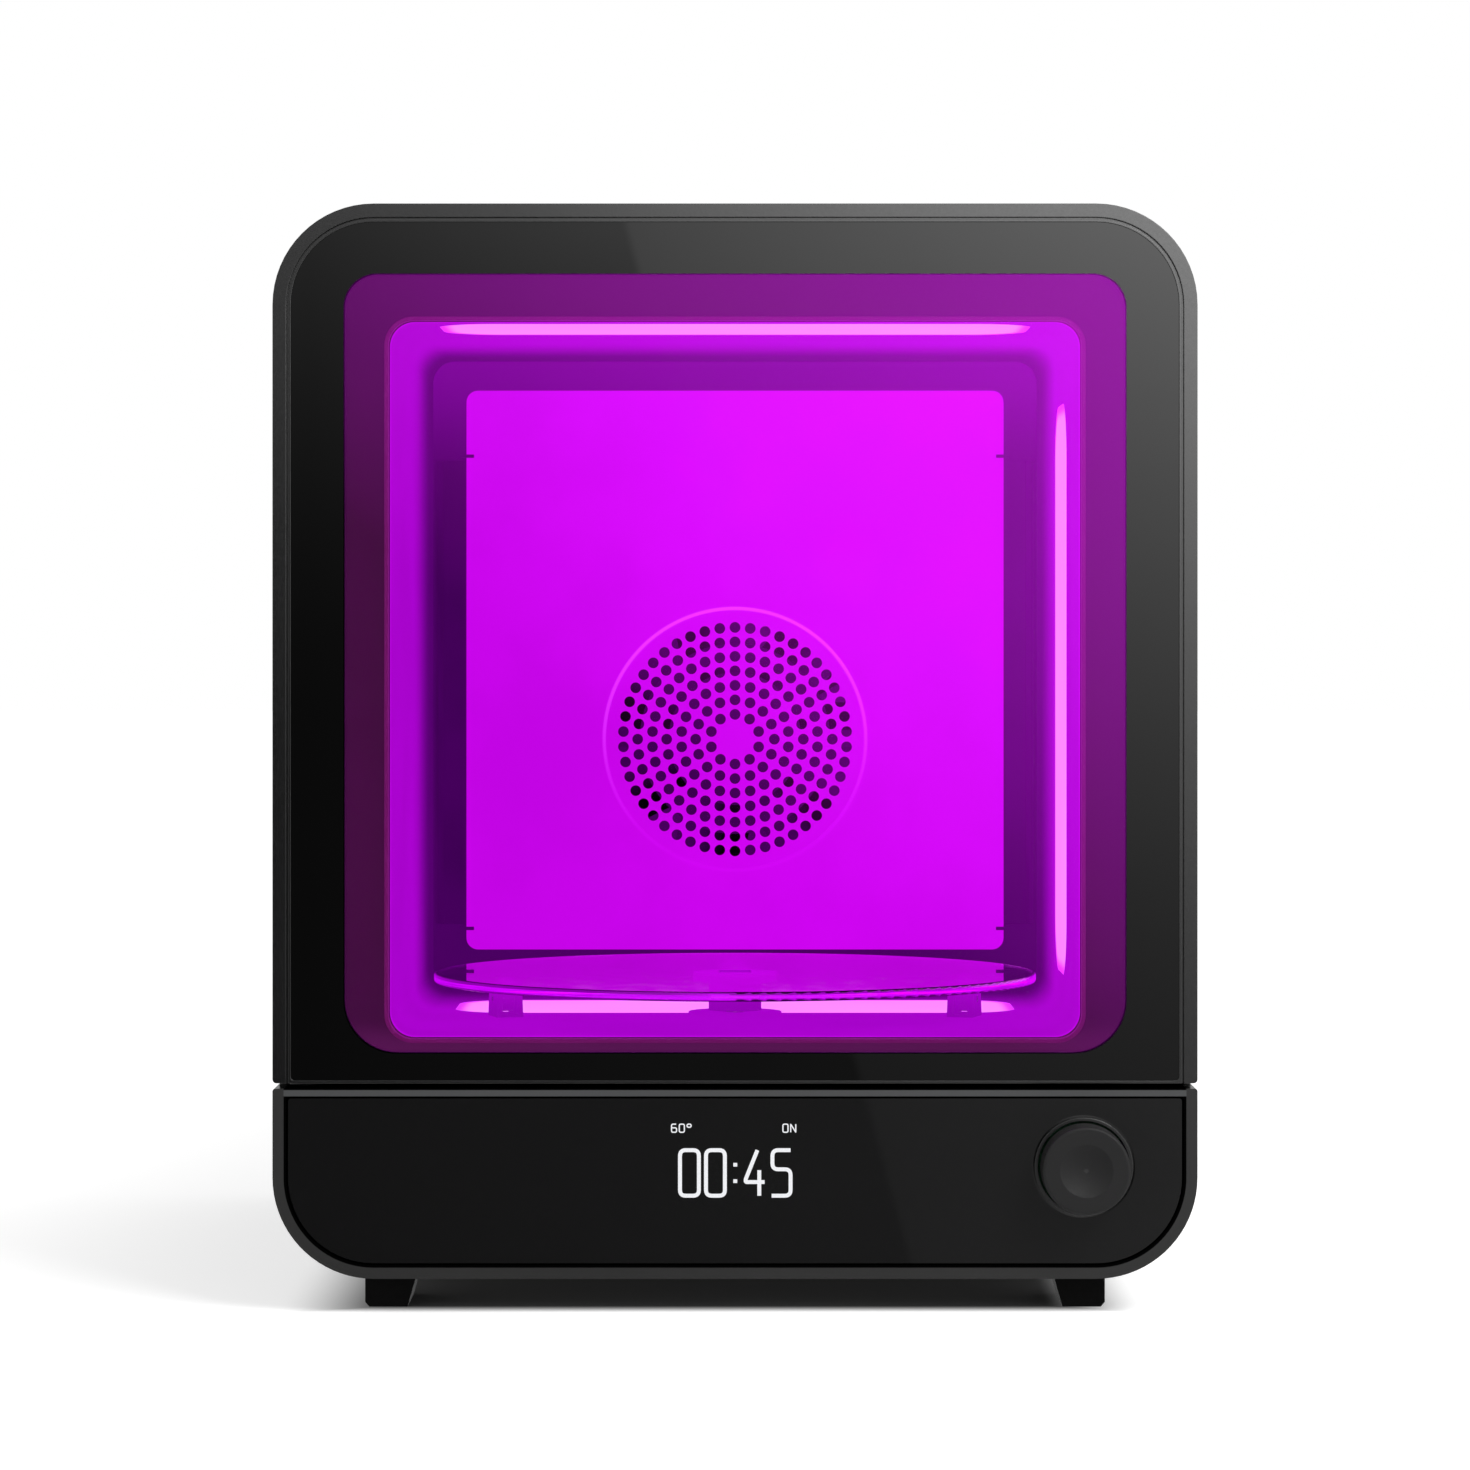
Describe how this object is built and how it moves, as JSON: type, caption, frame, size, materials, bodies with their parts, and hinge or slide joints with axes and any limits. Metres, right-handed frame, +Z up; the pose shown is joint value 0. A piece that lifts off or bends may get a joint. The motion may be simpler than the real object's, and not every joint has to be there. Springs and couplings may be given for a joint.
{
  "type": "light curing unit",
  "caption": "Benchtop light curing unit: hinged glazed door, reflective chamber with turntable and light windows, warm air fan, base front with display and push and turn knob.",
  "frame": {"origin": "middle of the footprint, on the plane of the feet", "axes": "+X to the right and +Y into the depth as seen from the door, +Z up"},
  "size_m": [0.274, 0.341, 0.329],
  "materials": {
    "cabinet_satin": "fine satin texture",
    "gloss_black": "high gloss",
    "window_glass": "polished, dark tint",
    "frame_black": "satin",
    "knob_black": "fine satin",
    "display_black": "glossy",
    "rubber_black": "matte",
    "chamber_sheet": "satin reflective",
    "reflector_sheet": "bright",
    "lens_diffuser": "frosted",
    "clear_plate": "polished clear",
    "plain_steel": "plain",
    "board_green": "coated board",
    "moulded_black": "moulded",
    "moulded_white": "moulded"
  },
  "bodies": {
    "cabinet": {"cabinet_shell": "cabinet_satin", "front_bulkhead": "frame_black", "chamber_gasket": "rubber_black", "base_fascia": "cabinet_satin", "control_panel": "gloss_black", "display_module": "display_black", "interface_board": "board_green", "encoder_body": "plain_steel", "knob_bezel": "cabinet_satin", "rear_cover": "cabinet_satin", "cover_screws": "plain_steel", "power_inlet": "moulded_black", "power_switch": "moulded_black", "chassis_plate": "plain_steel", "foot_front_left": "rubber_black", "foot_front_right": "rubber_black", "foot_rear_left": "rubber_black", "foot_rear_right": "rubber_black", "chamber_liner": "chamber_sheet", "chamber_back": "frame_black", "reflector_panel": "reflector_sheet", "panel_clips": "moulded_black", "air_duct": "plain_steel", "heater": "plain_steel", "fan_frame": "moulded_black", "fan_stator": "plain_steel", "ceiling_light_board": "board_green", "side_light_board": "board_green", "floor_light_board": "board_green", "ceiling_window": "lens_diffuser", "side_window": "lens_diffuser", "floor_window": "lens_diffuser", "light_heat_sinks": "reflector_sheet", "turntable_motor": "plain_steel", "motor_bracket": "plain_steel", "roller_brackets": "moulded_white", "roller_axles": "plain_steel", "power_supply": "plain_steel", "main_board": "board_green", "board_standoffs": "plain_steel", "hinge_arm": "plain_steel", "hinge_pins": "plain_steel", "strike_plates": "plain_steel", "door_sensor": "moulded_white"},
    "door": {"door_frame": "cabinet_satin", "door_inner_frame": "frame_black", "door_glass": "window_glass", "hinge_bushes": "moulded_white", "door_magnets": "plain_steel"},
    "encoder_push": {"encoder_plunger": "moulded_white"},
    "knob": {"knob_cap": "knob_black", "encoder_shaft": "plain_steel"},
    "turntable_drive": {"drive_hub": "moulded_black", "motor_shaft": "plain_steel"},
    "turntable": {"turntable_plate": "clear_plate"},
    "roller_left": {"roller_left": "moulded_white"},
    "roller_right": {"roller_right": "moulded_white"},
    "roller_rear": {"roller_rear": "moulded_white"},
    "fan_wheel": {"fan_impeller": "moulded_black"},
    "rocker": {"power_rocker": "moulded_black"}
  },
  "joints": [
    {"name": "door_swing", "type": "hinge", "parent": "cabinet", "child": "door", "pos_m": [-0.128, -0.1445, 0.19], "axis": [0, 0, -1], "range_deg": [0, 95]},
    {"name": "knob_push", "type": "slide", "parent": "cabinet", "child": "encoder_push", "axis": [0, 1, 0], "range_m": [0, 0.0008], "stiffness_N_per_m": 1500, "springref_m": -0.0006},
    {"name": "knob_turn", "type": "hinge", "parent": "encoder_push", "child": "knob", "pos_m": [0.1033, -0.16, 0.0437], "axis": [0, 1, 0], "continuous": true},
    {"name": "turntable_spin", "type": "hinge", "parent": "cabinet", "child": "turntable_drive", "pos_m": [0, -0.0215, 0.085], "axis": [0, 0, 1], "continuous": true},
    {"name": "turntable_lift", "type": "slide", "parent": "turntable_drive", "child": "turntable", "axis": [0, 0, 1], "range_m": [0, 0.02]},
    {"name": "roller_left_spin", "type": "hinge", "parent": "cabinet", "child": "roller_left", "pos_m": [-0.07306, -0.04245, 0.0854], "axis": [-0.9613, -0.2756, 0], "continuous": true},
    {"name": "roller_right_spin", "type": "hinge", "parent": "cabinet", "child": "roller_right", "pos_m": [0.07306, -0.04245, 0.0854], "axis": [0.9613, -0.2756, 0], "continuous": true},
    {"name": "roller_rear_spin", "type": "hinge", "parent": "cabinet", "child": "roller_rear", "pos_m": [0, 0.0545, 0.0854], "axis": [0, 1, 0], "continuous": true},
    {"name": "fan_spin", "type": "hinge", "parent": "cabinet", "child": "fan_wheel", "pos_m": [0, 0.12, 0.1653], "axis": [0, 1, 0], "continuous": true},
    {"name": "rocker_tilt", "type": "hinge", "parent": "cabinet", "child": "rocker", "pos_m": [0.056, 0.164, 0.0435], "axis": [-1, 0, 0], "range_deg": [0, 14]}
  ],
  "couplings": [
    {"joint": "roller_left_spin", "follows": "turntable_spin", "ratio": -19},
    {"joint": "roller_right_spin", "follows": "turntable_spin", "ratio": -19},
    {"joint": "roller_rear_spin", "follows": "turntable_spin", "ratio": -19}
  ]
}
